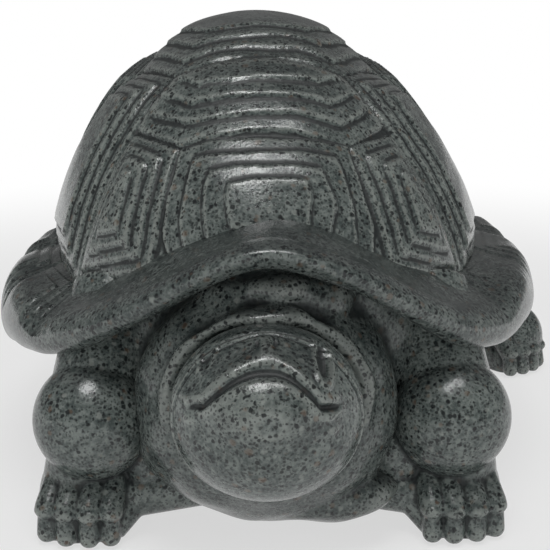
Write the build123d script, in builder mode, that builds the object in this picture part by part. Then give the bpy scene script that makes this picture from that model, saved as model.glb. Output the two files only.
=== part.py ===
"""Turtle figurine: hollow stone-look castings put together with spigots, tenons and a lipped seam.

Millimetres, +Z up. The turtle faces -Y and +X is its left side. The origin lies on the shelf,
under the middle of the shell, on the underside of the belly felt.
"""
import math
import os

from build123d import *

os.makedirs("parts", exist_ok=True)

# Shell dome, half sizes measured over the top tier of the scutes
DOME_HALF_WIDTH = 48.0
DOME_HALF_LENGTH = 74.0
DOME_TOP_Z = 94.0
DOME_WAIST_Z = 30.0
SHELL_WALL = 5.0
SCUTE_STEP = 0.9
SCUTE_BAND = 3.6
SCUTE_GROOVE = 1.4
SCUTE_TIERS = 2

# Flared rim, arched over the neck and the tail
RIM_SIDE_FLARE = 12.0
RIM_END_FLARE = 6.0
RIM_CROWN_Z = 61.8
RIM_THICKNESS = 7.8
RIM_TOP_BEND = 30.0
RIM_TOP_SLOPE = 23.3
RIM_SHOULDER = 24.0
RIM_SHOULDER_OVERRUN = 0.8
RIM_UNDER_BEND = 28.5
RIM_UNDER_SLOPE = 34.2
RIM_ROUND = 3.4
RIM_ROUND_LIMIT = 0.45

# Body tub, as wide as the dome, with the belly and the neck collar
BODY_END_INSET = 5.0
BODY_WAIST_Z = 28.0
BODY_WALL = 9.0
BELLY_FLAT_CUT = 4.0
BELLY_FLOOR = 6.0
COLLAR_HALF_WIDTH = 23.5
COLLAR_HALF_DEPTH = 17.0
COLLAR_HALF_HEIGHT = 24.5
COLLAR_INSET = 5.0
COLLAR_BOTTOM_Z = 1.2
LIP_WALL = 2.0
LIP_HEIGHT = 4.0
LIP_CLEARANCE = 0.3
GLUE_GAP = 0.15

# Head, set a little to the turtle's right
HEAD_HALF_WIDTH = 16.0
HEAD_HALF_DEPTH = 15.0
HEAD_HALF_HEIGHT = 14.5
HEAD_X = -1.5
HEAD_FORWARD = 17.0
HEAD_Z = 30.5
BEAK_HALF_WIDTH = 12.5
BEAK_HALF_DEPTH = 11.5
BEAK_HALF_HEIGHT = 9.0
BEAK_FORWARD = 5.0
BEAK_UP = 3.5
SPIGOT_RADIUS = 7.0
SPIGOT_LENGTH = 5.0

# Legs: a ball let in to the body, a foot with toes, and a tenon
FRONT_BALL_RADIUS = 11.2
FRONT_BALL_SIDE_INSET = 15.4
FRONT_BALL_END_INSET = 9.0
FRONT_BALL_Z = 22.0
REAR_BALL_RADIUS = 11.5
REAR_BALL_SIDE_INSET = 4.0
REAR_BALL_END_INSET = 26.0
REAR_BALL_Z = 17.5
FOOT_HALF_WIDTH = 10.0
FOOT_HALF_LENGTH = 12.0
FOOT_HEIGHT = 15.5
FOOT_MIDDLE_Z = 5.2
TOE_COUNT = 4
TOE_PITCH = 4.7
TOE_HALF_WIDTH = 2.7
TOE_HALF_LENGTH = 6.0
TOE_HEIGHT = 8.6
TOE_MIDDLE_Z = 3.4
TOE_REACH = 2.1
TOE_SET_BACK = 1.2
FRONT_FOOT_SPREAD = 0.9
FRONT_FOOT_SET_BACK = 3.0
REAR_LEFT_FOOT_SPREAD = 20.0
REAR_LEFT_FOOT_LEAD = 1.0
REAR_LEFT_FOOT_TURN = 32.0
REAR_RIGHT_FOOT_SPREAD = 1.0
REAR_RIGHT_FOOT_LEAD = 3.0
REAR_RIGHT_FOOT_TURN = 6.0
SHANK_RADIUS = 8.2
ANKLE_Z = 10.0
TENON_RADIUS = 4.5
TENON_LENGTH = 6.0

# Tail
TAIL_ROOT_RADIUS = 6.5
TAIL_TIP_RADIUS = 2.2
TAIL_LENGTH = 20.0
TAIL_Z = 22.0
TAIL_DROOP = 30.0
TAIL_SINK = 3.0
TAIL_TENON_RADIUS = 3.5

# Filling port and its stopper
PORT_RADIUS = 7.0
PORT_Y = 21.0
STOPPER_CLEARANCE = 0.25
STOPPER_FLANGE_RADIUS = 9.0
STOPPER_FLANGE = 2.0
STOPPER_RECESS = 0.8
STOPPER_SHANK = 6.5
STOPPER_SLOT_LENGTH = 11.0
STOPPER_SLOT_WIDTH = 2.0
STOPPER_SLOT_DEPTH = 1.2

# Felt discs, let in to the soles and the belly
FELT_THICKNESS = 1.2
FELT_PROUD = 0.6
FELT_CLEARANCE = 0.2
FOOT_FELT_RADIUS = 5.5
BELLY_FELT_RADIUS = 10.0

# Scute corners: share of the dome's half length, and lean from the vertical in degrees
FRONT_SEAM = (-0.692, 28.0)
FRONT_BROW = (-0.86, 0.0)
FRONT_FOOT = (-0.79, 50.0)
SECOND_ELBOW = (-0.507, 39.0)
SECOND_SEAM = (-0.41, 24.0)
THIRD_ELBOW = (-0.12, 34.0)
THIRD_SEAM = (0.16, 21.0)
FOURTH_ELBOW = (0.446, 34.0)
FOURTH_SEAM = (0.635, 20.5)
FIFTH_ELBOW = (0.77, 36.0)
FIFTH_FOOT = (0.892, 44.0)
FIRST_HEM = (-0.775, 58.0)
SECOND_HEM = (-0.554, 72.0)
THIRD_HEM = (-0.05, 73.0)
FOURTH_HEM = (0.47, 72.0)
FIFTH_HEM = (0.77, 62.0)

# Lengths that follow from the sizes above
DOME_RISE = DOME_TOP_Z - DOME_WAIST_Z
SCUTE_HEIGHT = SCUTE_TIERS * SCUTE_STEP
RIM_HALF_WIDTH = DOME_HALF_WIDTH + RIM_SIDE_FLARE
RIM_HALF_LENGTH = DOME_HALF_LENGTH + RIM_END_FLARE
RIM_UNDER_Z = RIM_CROWN_Z - RIM_THICKNESS
RIM_EDGE_X = RIM_HALF_WIDTH + RIM_SHOULDER_OVERRUN
BODY_HALF_WIDTH = DOME_HALF_WIDTH
BODY_HALF_LENGTH = DOME_HALF_LENGTH - BODY_END_INSET
BODY_DROP = BODY_WAIST_Z - FELT_PROUD
BELLY_TOP_Z = FELT_PROUD + BELLY_FLOOR
COLLAR_Y = COLLAR_INSET - BODY_HALF_LENGTH
COLLAR_Z = COLLAR_BOTTOM_Z + COLLAR_HALF_HEIGHT
HEAD_Y = COLLAR_Y - HEAD_FORWARD
FRONT_BALL_X = BODY_HALF_WIDTH - FRONT_BALL_SIDE_INSET
FRONT_BALL_Y = FRONT_BALL_END_INSET - BODY_HALF_LENGTH
FRONT_FOOT_X = FRONT_BALL_X + FRONT_FOOT_SPREAD
FRONT_FOOT_Y = FRONT_BALL_Y + FRONT_FOOT_SET_BACK
REAR_BALL_X = BODY_HALF_WIDTH - REAR_BALL_SIDE_INSET
REAR_BALL_Y = BODY_HALF_LENGTH - REAR_BALL_END_INSET
REAR_LEFT_FOOT_X = REAR_BALL_X + REAR_LEFT_FOOT_SPREAD
REAR_LEFT_FOOT_Y = REAR_BALL_Y - REAR_LEFT_FOOT_LEAD
REAR_RIGHT_FOOT_X = REAR_BALL_X + REAR_RIGHT_FOOT_SPREAD
REAR_RIGHT_FOOT_Y = REAR_BALL_Y - REAR_RIGHT_FOOT_LEAD
SHOULDER_SLANT = math.radians(RIM_TOP_SLOPE)
RIM_SPAN = 4 * RIM_HALF_LENGTH
SCUTE_REACH = DOME_HALF_WIDTH / 4
OUTSIDE = 2 * (RIM_HALF_LENGTH + RIM_HALF_WIDTH)


def ellipsoid(centre, half_sizes, lying=False):
    """Solid ellipsoid about a centre. A lying one has the poles of its surface along Y."""
    ball = Sphere(1.0, rotation=(90 if lying else 0, 0, 0), mode=Mode.PRIVATE)
    return Pos(*centre) * scale(ball, by=half_sizes, mode=Mode.PRIVATE)


def dome_under(depth):
    """Ellipsoid of the dome, a given depth under the top tier of its scutes."""
    half_sizes = (DOME_HALF_WIDTH - depth, DOME_HALF_LENGTH - depth, DOME_RISE - depth)
    return ellipsoid((0, 0, DOME_WAIST_Z), half_sizes, lying=True)


def flank(crown_z, bend, slope, reach_x):
    """Ends of the straight flank of an arch: where it leaves the crown, and where it stops."""
    slant = math.radians(slope)
    start = (bend * math.sin(slant), crown_z - bend * (1 - math.cos(slant)))
    return start, (reach_x, start[1] - (reach_x - start[0]) * math.tan(slant))


def other_side(point):
    """The same point on the turtle's right."""
    return (-point[0], point[1])


def dome_point(corner, side):
    """Point of the dome at a scute corner, on the left for side 1 and on the right for side -1."""
    along, lean = corner
    girth = math.sqrt(1 - along**2)
    angle = math.radians(lean)
    return Vector(
        side * DOME_HALF_WIDTH * girth * math.sin(angle),
        DOME_HALF_LENGTH * along,
        DOME_WAIST_Z + DOME_RISE * girth * math.cos(angle),
    )


def scute_plane(corners):
    """Plane through the middle of a scute, square to the dome there."""
    middle = sum(corners, Vector(0, 0, 0)) / len(corners)
    outward = Vector(
        middle.X / DOME_HALF_WIDTH**2,
        middle.Y / DOME_HALF_LENGTH**2,
        (middle.Z - DOME_WAIST_Z) / DOME_RISE**2,
    )
    return Plane(origin=middle, z_dir=outward)


def middle_scute(*corners):
    """Corners of a scute on the middle line, once round, with those that do not lean only once."""
    left = [dome_point(corner, 1) for corner in corners]
    right = [dome_point(corner, -1) for corner in reversed(corners) if corner[1]]
    return left + right


def side_scutes(*corners):
    """Corners of a pair of side scutes."""
    return [[dome_point(corner, side) for corner in corners] for side in (1, -1)]


def tenon_plane(ball_centre):
    """Plane at a leg's ball that faces the upright axis through the shell's middle."""
    return Plane(origin=ball_centre, z_dir=(-ball_centre[0], -ball_centre[1], 0))


SCUTES = [
    middle_scute(FRONT_SEAM, FRONT_FOOT, FRONT_BROW),
    middle_scute(SECOND_SEAM, SECOND_ELBOW, FRONT_SEAM),
    middle_scute(THIRD_SEAM, THIRD_ELBOW, SECOND_SEAM),
    middle_scute(FOURTH_SEAM, FOURTH_ELBOW, THIRD_SEAM),
    middle_scute(FIFTH_FOOT, FIFTH_ELBOW, FOURTH_SEAM),
    *side_scutes(FRONT_SEAM, SECOND_ELBOW, SECOND_HEM, FIRST_HEM),
    *side_scutes(SECOND_ELBOW, SECOND_SEAM, THIRD_ELBOW, THIRD_HEM, SECOND_HEM),
    *side_scutes(THIRD_ELBOW, THIRD_SEAM, FOURTH_ELBOW, FOURTH_HEM, THIRD_HEM),
    *side_scutes(FOURTH_ELBOW, FOURTH_SEAM, FIFTH_ELBOW, FIFTH_HEM, FOURTH_HEM),
]

# Arches of the rim's top and underside, as points across the shell
shoulder_x = RIM_EDGE_X - RIM_SHOULDER
top_start, top_end = flank(
    RIM_CROWN_Z, RIM_TOP_BEND, RIM_TOP_SLOPE, shoulder_x + RIM_SHOULDER * math.sin(SHOULDER_SLANT)
)
shoulder_z = top_end[1] - RIM_SHOULDER * math.cos(SHOULDER_SLANT)
shoulder_half_turn = (math.pi / 2 + SHOULDER_SLANT) / 2
shoulder_middle = (
    shoulder_x + RIM_SHOULDER * math.sin(shoulder_half_turn),
    shoulder_z + RIM_SHOULDER * math.cos(shoulder_half_turn),
)
shoulder_end = (RIM_EDGE_X, shoulder_z)
under_start, under_end = flank(RIM_UNDER_Z, RIM_UNDER_BEND, RIM_UNDER_SLOPE, RIM_EDGE_X)

# Space under the rim, open upwards beyond the rim's sides
with BuildPart() as under_rim:
    with BuildSketch(Plane.XZ.offset(-RIM_SPAN / 2)):
        with BuildLine():
            ThreePointArc(under_start, (0, RIM_UNDER_Z), other_side(under_start))
            Polyline(
                under_start,
                under_end,
                (RIM_EDGE_X, OUTSIDE),
                (OUTSIDE, OUTSIDE),
                (OUTSIDE, -OUTSIDE),
                (-OUTSIDE, -OUTSIDE),
                (-OUTSIDE, OUTSIDE),
                (-RIM_EDGE_X, OUTSIDE),
                other_side(under_end),
                other_side(under_start),
            )
        make_face()
    extrude(amount=RIM_SPAN)

# Rim: an arched sheet with an oval outline
with BuildPart() as rim:
    with BuildSketch(Plane.XZ.offset(-RIM_SPAN / 2)):
        with BuildLine():
            ThreePointArc(top_start, (0, RIM_CROWN_Z), other_side(top_start))
            ThreePointArc(under_start, (0, RIM_UNDER_Z), other_side(under_start))
            right_flank = [
                Line(top_start, top_end),
                ThreePointArc(top_end, shoulder_middle, shoulder_end),
                Line(shoulder_end, under_end),
                Line(under_end, under_start),
            ]
            mirror(right_flank, about=Plane.YZ)
        make_face()
    extrude(amount=RIM_SPAN)
    with BuildSketch(Plane.XY):
        Ellipse(RIM_HALF_WIDTH, RIM_HALF_LENGTH)
    extrude(amount=OUTSIDE, mode=Mode.INTERSECT)

# Scute tiers: prisms square to the dome, each tier trimmed to its own height
tiers = []
for level in range(SCUTE_TIERS):
    with BuildPart() as tier:
        inset = SCUTE_GROOVE / 2 + level * SCUTE_BAND
        for corners in SCUTES:
            seat = scute_plane(corners)
            flat_corners = [seat.to_local_coords(corner) for corner in corners]
            with BuildSketch(seat):
                with BuildLine():
                    Polyline([(corner.X, corner.Y) for corner in flat_corners], close=True)
                make_face()
                offset(amount=-inset, kind=Kind.INTERSECTION, mode=Mode.REPLACE)
            extrude(amount=SCUTE_REACH, both=True)
        add(dome_under(SCUTE_HEIGHT - (level + 1) * SCUTE_STEP), mode=Mode.INTERSECT)
    tiers.append(tier.part)

with BuildPart() as carapace:
    add(dome_under(SCUTE_HEIGHT))
    for tier_solid in tiers:
        add(tier_solid)
    add(Pos(0, 0, RIM_THICKNESS / 2) * under_rim.part, mode=Mode.SUBTRACT)
    add(rim.part)
    add(dome_under(SCUTE_HEIGHT + SHELL_WALL), mode=Mode.SUBTRACT)
    outer_face = carapace.faces().filter_by(GeomType.EXTRUSION).sort_by(SortBy.AREA)[-1]
    outer_edges = outer_face.edges().filter_by(GeomType.LINE, reverse=True)
    fillet(outer_edges, min(RIM_ROUND, RIM_ROUND_LIMIT * RIM_THICKNESS))
carapace.part.label = "carapace"
export_step(carapace.part, "parts/carapace.step")

# Foot about its own middle, toes along -Y, with a flat sole and the felt's recess
with BuildPart() as foot:
    foot_half_sizes = (FOOT_HALF_WIDTH, FOOT_HALF_LENGTH, FOOT_HEIGHT - FOOT_MIDDLE_Z)
    add(ellipsoid((0, 0, FOOT_MIDDLE_Z), foot_half_sizes))
    toe_half_sizes = (TOE_HALF_WIDTH, TOE_HALF_LENGTH, TOE_HEIGHT - TOE_MIDDLE_Z)
    for toe in range(TOE_COUNT):
        aside = toe - (TOE_COUNT - 1) / 2
        toe_y = TOE_HALF_LENGTH - FOOT_HALF_LENGTH - TOE_REACH + TOE_SET_BACK * abs(aside)
        add(ellipsoid((aside * TOE_PITCH, toe_y, TOE_MIDDLE_Z), toe_half_sizes))
    split(bisect_by=Plane.XY.offset(FELT_PROUD), keep=Keep.TOP)
    with BuildSketch(Plane.XY.offset(FELT_THICKNESS)):
        Circle(FOOT_FELT_RADIUS + FELT_CLEARANCE)
    extrude(amount=-FELT_THICKNESS, mode=Mode.SUBTRACT)

# Where each leg's ball and foot are: ball radius, ball centre, foot middle and the foot's turn
LEGS = {
    "front_left": (
        FRONT_BALL_RADIUS, (FRONT_BALL_X, FRONT_BALL_Y, FRONT_BALL_Z), (FRONT_FOOT_X, FRONT_FOOT_Y, 0), 0
    ),
    "front_right": (
        FRONT_BALL_RADIUS, (-FRONT_BALL_X, FRONT_BALL_Y, FRONT_BALL_Z), (-FRONT_FOOT_X, FRONT_FOOT_Y, 0), 0
    ),
    "rear_left": (
        REAR_BALL_RADIUS,
        (REAR_BALL_X, REAR_BALL_Y, REAR_BALL_Z),
        (REAR_LEFT_FOOT_X, REAR_LEFT_FOOT_Y, 0),
        REAR_LEFT_FOOT_TURN,
    ),
    "rear_right": (
        REAR_BALL_RADIUS,
        (-REAR_BALL_X, REAR_BALL_Y, REAR_BALL_Z),
        (-REAR_RIGHT_FOOT_X, REAR_RIGHT_FOOT_Y, 0),
        -REAR_RIGHT_FOOT_TURN,
    ),
}

legs = []
for name, (ball_radius, ball_centre, foot_middle, turn) in LEGS.items():
    ankle = Vector(foot_middle[0], foot_middle[1], ANKLE_Z)
    shin = ankle - Vector(*ball_centre)
    with BuildPart() as leg:
        with Locations(tenon_plane(ball_centre)):
            Sphere(ball_radius)
        with Locations(Plane(origin=ball_centre, z_dir=shin)):
            Cylinder(SHANK_RADIUS, shin.length, align=(Align.CENTER, Align.CENTER, Align.MIN))
        with Locations(ankle):
            Sphere(SHANK_RADIUS)
        split(bisect_by=Plane.XY.offset(FELT_PROUD), keep=Keep.TOP)
        add(Location(foot_middle, (0, 0, turn)) * foot.part)
        with BuildSketch(Plane.XY.offset(FELT_THICKNESS)):
            with Locations(foot_middle[:2]):
                Circle(FOOT_FELT_RADIUS + FELT_CLEARANCE)
        extrude(amount=-FELT_THICKNESS, mode=Mode.SUBTRACT)
        with Locations(tenon_plane(ball_centre)):
            Cylinder(TENON_RADIUS, ball_radius + TENON_LENGTH, align=(Align.CENTER, Align.CENTER, Align.MIN))
        add(Pos(0, 0, -GLUE_GAP) * under_rim.part, mode=Mode.INTERSECT)
    leg.part.label = f"{name}_leg"
    export_step(leg.part, f"parts/{name}_leg.step")
    legs.append(leg.part)

    with BuildPart() as foot_felt:
        with BuildSketch():
            with Locations(foot_middle[:2]):
                Circle(FOOT_FELT_RADIUS)
        extrude(amount=FELT_THICKNESS)
    foot_felt.part.label = f"{name}_felt"
    export_step(foot_felt.part, f"parts/{name}_felt.step")

with BuildPart() as belly_felt:
    with BuildSketch():
        Circle(BELLY_FELT_RADIUS)
    extrude(amount=FELT_THICKNESS)
belly_felt.part.label = "belly_felt"
export_step(belly_felt.part, "parts/belly_felt.step")

# Head with the overhanging beak and the spigot
head_centre = (HEAD_X, HEAD_Y, HEAD_Z)
spigot_plane = Plane(origin=head_centre, z_dir=(0, 1, 0))
with BuildPart() as head:
    add(ellipsoid(head_centre, (HEAD_HALF_WIDTH, HEAD_HALF_DEPTH, HEAD_HALF_HEIGHT), lying=True))
    beak_centre = (HEAD_X, HEAD_Y - BEAK_FORWARD, HEAD_Z + BEAK_UP)
    add(ellipsoid(beak_centre, (BEAK_HALF_WIDTH, BEAK_HALF_DEPTH, BEAK_HALF_HEIGHT)))
    with Locations(spigot_plane):
        Cylinder(
            SPIGOT_RADIUS, HEAD_HALF_DEPTH + SPIGOT_LENGTH, align=(Align.CENTER, Align.CENTER, Align.MIN)
        )
head.part.label = "head"
export_step(head.part, "parts/head.step")

# Tail, drooping from the body's back wall
body_girth = math.sqrt(1 - ((BODY_WAIST_Z - TAIL_Z) / (BODY_DROP + BELLY_FLAT_CUT)) ** 2)
droop = math.radians(TAIL_DROOP)
tail_root = (0, BODY_HALF_LENGTH * body_girth - TAIL_SINK, TAIL_Z)
tail_plane = Plane(origin=tail_root, x_dir=(1, 0, 0), z_dir=(0, math.cos(droop), -math.sin(droop)))
with BuildPart() as tail:
    with Locations(tail_plane):
        Cone(TAIL_ROOT_RADIUS, TAIL_TIP_RADIUS, TAIL_LENGTH, align=(Align.CENTER, Align.CENTER, Align.MIN))
        Cylinder(TAIL_TENON_RADIUS, TENON_LENGTH, align=(Align.CENTER, Align.CENTER, Align.MAX))
    with Locations(tail_plane.offset(TAIL_LENGTH)):
        Sphere(TAIL_TIP_RADIUS)
tail.part.label = "tail"
export_step(tail.part, "parts/tail.step")

# Stopper of the filling port, with a slot to lift it by
flange_z = FELT_PROUD + STOPPER_RECESS
with BuildPart() as belly_stopper:
    with BuildSketch(Plane.XY.offset(flange_z)):
        with Locations((0, PORT_Y)):
            Circle(STOPPER_FLANGE_RADIUS)
    extrude(amount=STOPPER_FLANGE)
    with BuildSketch(Plane.XY.offset(flange_z + STOPPER_FLANGE)):
        with Locations((0, PORT_Y)):
            Circle(PORT_RADIUS - STOPPER_CLEARANCE)
    extrude(amount=STOPPER_SHANK)
    chamfer(belly_stopper.edges().sort_by(Axis.Z)[-1], STOPPER_CLEARANCE)
    with BuildSketch(Plane.XY.offset(flange_z)):
        with Locations((0, PORT_Y)):
            SlotOverall(STOPPER_SLOT_LENGTH, STOPPER_SLOT_WIDTH)
    extrude(amount=STOPPER_SLOT_DEPTH, mode=Mode.SUBTRACT)
belly_stopper.part.label = "belly_stopper"
export_step(belly_stopper.part, "parts/belly_stopper.step")

# Lip that stands up inside the dome and keeps the carapace in place
lip_outside = SCUTE_HEIGHT + SHELL_WALL + LIP_CLEARANCE
with BuildPart() as lip:
    add(dome_under(lip_outside))
    add(dome_under(lip_outside + LIP_WALL), mode=Mode.SUBTRACT)
    add(Pos(0, 0, LIP_HEIGHT) * under_rim.part, mode=Mode.INTERSECT)
    add(Pos(0, 0, -LIP_HEIGHT) * under_rim.part, mode=Mode.SUBTRACT)

# Body: a tub with a flat belly, the neck collar and a cup for every piece that sits on it
with BuildPart() as body:
    body_half_sizes = (BODY_HALF_WIDTH, BODY_HALF_LENGTH, BODY_DROP + BELLY_FLAT_CUT)
    add(ellipsoid((0, 0, BODY_WAIST_Z), body_half_sizes))
    split(bisect_by=Plane.XY.offset(BODY_WAIST_Z), keep=Keep.BOTTOM)
    with BuildSketch(Plane.XY.offset(BODY_WAIST_Z)):
        Ellipse(BODY_HALF_WIDTH, BODY_HALF_LENGTH)
    extrude(amount=RIM_CROWN_Z - BODY_WAIST_Z)
    collar_half_sizes = (COLLAR_HALF_WIDTH, COLLAR_HALF_DEPTH, COLLAR_HALF_HEIGHT)
    add(ellipsoid((HEAD_X, COLLAR_Y, COLLAR_Z), collar_half_sizes))
    split(bisect_by=Plane.XY.offset(FELT_PROUD), keep=Keep.TOP)
    add(Pos(0, 0, -GLUE_GAP) * under_rim.part, mode=Mode.INTERSECT)
    add(lip.part)
    hollow_half_width = BODY_HALF_WIDTH - BODY_WALL
    hollow_half_length = BODY_HALF_LENGTH - BODY_WALL
    with BuildSketch(Plane.XY.offset(BODY_WAIST_Z)):
        Ellipse(hollow_half_width, hollow_half_length)
    extrude(amount=RIM_CROWN_Z - BODY_WAIST_Z, mode=Mode.SUBTRACT)
    hollow_half_sizes = (hollow_half_width, hollow_half_length, BODY_WAIST_Z - BELLY_TOP_Z)
    add(ellipsoid((0, 0, BODY_WAIST_Z), hollow_half_sizes), mode=Mode.SUBTRACT)
    cup_half_sizes = (HEAD_HALF_WIDTH + GLUE_GAP, HEAD_HALF_DEPTH + GLUE_GAP, HEAD_HALF_HEIGHT + GLUE_GAP)
    add(ellipsoid(head_centre, cup_half_sizes), mode=Mode.SUBTRACT)
    with Locations(spigot_plane):
        Cylinder(
            SPIGOT_RADIUS + GLUE_GAP,
            HEAD_HALF_DEPTH + SPIGOT_LENGTH + GLUE_GAP,
            align=(Align.CENTER, Align.CENTER, Align.MIN),
            mode=Mode.SUBTRACT,
        )
    for ball_radius, ball_centre, _, _ in LEGS.values():
        with Locations(ball_centre):
            Sphere(ball_radius + GLUE_GAP, mode=Mode.SUBTRACT)
        with Locations(tenon_plane(ball_centre)):
            Cylinder(
                TENON_RADIUS + GLUE_GAP,
                ball_radius + TENON_LENGTH + GLUE_GAP,
                align=(Align.CENTER, Align.CENTER, Align.MIN),
                mode=Mode.SUBTRACT,
            )
    for leg_solid in legs:
        add(leg_solid, mode=Mode.SUBTRACT)
    with Locations(tail_plane.offset(-GLUE_GAP)):
        Cone(
            TAIL_ROOT_RADIUS + GLUE_GAP,
            TAIL_TIP_RADIUS + GLUE_GAP,
            TAIL_LENGTH + GLUE_GAP,
            align=(Align.CENTER, Align.CENTER, Align.MIN),
            mode=Mode.SUBTRACT,
        )
        Cylinder(
            TAIL_TENON_RADIUS + GLUE_GAP,
            TENON_LENGTH,
            align=(Align.CENTER, Align.CENTER, Align.MAX),
            mode=Mode.SUBTRACT,
        )
    port_centre = (0, PORT_Y)
    with BuildSketch(Plane.XY):
        with Locations(port_centre):
            Circle(STOPPER_FLANGE_RADIUS + STOPPER_CLEARANCE)
    extrude(amount=flange_z + STOPPER_FLANGE + STOPPER_CLEARANCE, mode=Mode.SUBTRACT)
    with BuildSketch(Plane.XY):
        with Locations(port_centre):
            Circle(PORT_RADIUS)
    extrude(amount=BODY_WAIST_Z, mode=Mode.SUBTRACT)
    with BuildSketch(Plane.XY):
        Circle(BELLY_FELT_RADIUS + FELT_CLEARANCE)
    extrude(amount=FELT_THICKNESS, mode=Mode.SUBTRACT)
body.part.label = "body"
export_step(body.part, "parts/body.step")
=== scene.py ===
"""Turtle figurine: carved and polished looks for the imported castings, laid out as an add-on.

Metres, +Z up. The turtle looks along -Y and +X is its left side.
"""
import math
from contextlib import contextmanager
from functools import cached_property

import bpy
import numpy as np
from bpy.props import FloatProperty, FloatVectorProperty, IntProperty, PointerProperty
from bpy.types import Operator, Panel, PropertyGroup
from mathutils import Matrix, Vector


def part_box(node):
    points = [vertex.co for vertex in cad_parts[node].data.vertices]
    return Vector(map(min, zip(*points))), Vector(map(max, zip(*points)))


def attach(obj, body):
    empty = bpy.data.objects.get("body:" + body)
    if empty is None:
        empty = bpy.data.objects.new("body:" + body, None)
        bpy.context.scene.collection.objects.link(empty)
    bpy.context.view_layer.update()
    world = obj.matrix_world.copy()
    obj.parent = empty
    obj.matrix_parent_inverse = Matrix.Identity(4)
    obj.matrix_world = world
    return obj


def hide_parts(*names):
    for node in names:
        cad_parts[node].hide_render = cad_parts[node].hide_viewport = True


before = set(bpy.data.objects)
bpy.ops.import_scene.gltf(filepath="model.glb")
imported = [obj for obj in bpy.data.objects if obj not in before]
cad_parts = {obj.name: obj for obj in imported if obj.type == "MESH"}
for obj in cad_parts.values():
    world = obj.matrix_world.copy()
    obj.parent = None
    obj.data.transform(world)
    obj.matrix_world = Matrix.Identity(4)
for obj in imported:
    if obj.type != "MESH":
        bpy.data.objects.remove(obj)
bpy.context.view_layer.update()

bl_info = {
    "name": "Turtle Figurine",
    "version": (1, 0, 0),
    "blender": (4, 5, 0),
    "location": "View3D > Sidebar > Turtle",
    "description": "Carves and finishes the castings of a turtle figurine",
    "category": "Object",
}

MM = 0.001
FIGURE = "figure"

# Shell, from the carapace's box and the sizes that the box does not give
RIM_HALF_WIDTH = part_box("carapace")[1].x
RIM_HALF_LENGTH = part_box("carapace")[1].y
DOME_TOP_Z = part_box("carapace")[1].z
DOME_WAIST_Z = 30 * MM
DOME_HALF_SIZES = np.array([48 * MM, 74 * MM, DOME_TOP_Z - DOME_WAIST_Z])
DOME_CENTRE = np.array([0, 0, DOME_WAIST_Z])
SHELL_WALL = 6.8 * MM
DOME_LEAN = 2.2 * MM
DOME_FOOT_FLARE = 0.02
DOME_LEAN_SPAN = (36 * MM, 94 * MM)
DOME_GRID = 300
DOME_INSIDE_GRID = 60
MEAN_BAND = 3.5 * MM

# Rim faces: crown, fall and spread at the front; crown, bend and slope in degrees at the back
RIM_TOP_FRONT = (59.8 * MM, 24.5 * MM, 34 * MM)
RIM_UNDER_FRONT = (53.2 * MM, 30.5 * MM, 36 * MM)
RIM_TOP_BACK = (61.8 * MM, 30 * MM, 23.3)
RIM_UNDER_BACK = (54 * MM, 28.5 * MM, 34.2)
RIM_FRONT_TO_BACK = (-60 * MM, -5 * MM)

# Rim: how far its lobes, its left side and its front edge leave those faces, and its outline
RIM_LOBE_LIFT = 4.5 * MM
RIM_LOBE_SPAN = (42 * MM, 60 * MM)
RIM_LEFT_LIFT = 3.6 * MM
RIM_LEFT_SPAN = (32 * MM, 62 * MM)
RIM_FRONT_DROOP = 1.5 * MM
RIM_INNER_SHARE = 0.74
RIM_TUCK = 0.975
RIM_GRID = (800, 100)
MARGINALS = 18
MARGINAL_STEP = 0.8 * MM

# Scute corners: share of the dome's half length, and lean from the vertical in degrees
FRONT_SEAM = (-0.678, 28.0)
FRONT_FOOT = (-0.80, 45.0)
FRONT_TUCK = (-0.93, 70.0)
SECOND_ELBOW = (-0.507, 39.0)
SECOND_SEAM = (-0.41, 24.0)
THIRD_ELBOW = (-0.12, 34.0)
THIRD_SEAM = (0.16, 21.0)
FOURTH_ELBOW = (0.446, 34.0)
FOURTH_SEAM = (0.635, 20.5)
FIFTH_ELBOW = (0.77, 36.0)
FIFTH_TUCK = (0.95, 50.0)
FIRST_HEM = (-0.83, 57.0)
SECOND_HEM = (-0.554, 77.0)
THIRD_HEM = (-0.05, 78.0)
FOURTH_HEM = (0.47, 77.0)
FIFTH_HEM = (0.77, 66.0)

# Head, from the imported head's box
HEAD_LOW, HEAD_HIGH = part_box("head")
HEAD_HALF_SIZES = np.array([16 * MM, 15 * MM, 14.5 * MM])
HEAD_CENTRE = np.array([(HEAD_LOW.x + HEAD_HIGH.x) / 2, -81 * MM, (HEAD_LOW.z + HEAD_HIGH.z) / 2])
BEAK_HALF_SIZES = np.array([12.5 * MM, 11.5 * MM, 9 * MM])
BEAK_OFFSET = np.array([0, -5 * MM, 3.5 * MM])
BEAK_BLEND = 0.9 * MM

# Body: rolls of skin over the head and, last, the chest, as middle and half sizes in millimetres
BODY_ROLLS = (
    ((0.5, -69.5, 48.9), (6.2, 5.2, 2.7)),
    ((0.5, -66.5, 46), (14, 6.5, 5.5)),
    ((-0.6, -75.8, 45), (6.5, 3.2, 1.7)),
    ((6, -65, 7), (17, 8, 6.6)),
)
CHEST_RISE = 3.7 * MM
RIM_CLEARANCE = 0.5 * MM

# Legs: ball centre and radius, the arm's upper end, foot middle and the foot's turn, in millimetres
LEGS = {
    "front_left": ((32.6, -60, 22), 11.0, (29, -44, 42), (34.8, -57), 0),
    "front_right": ((-32.6, -60, 22), 11.0, (-29, -44, 42), (-35.4, -57), 0),
    "rear_left": ((44, 43, 17.5), 11.5, (40, 36, 30), (64, 42), 32),
    "rear_right": ((-44, 43, 17.5), 11.5, (-40, 36, 30), (-45, 40), -6),
}
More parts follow.
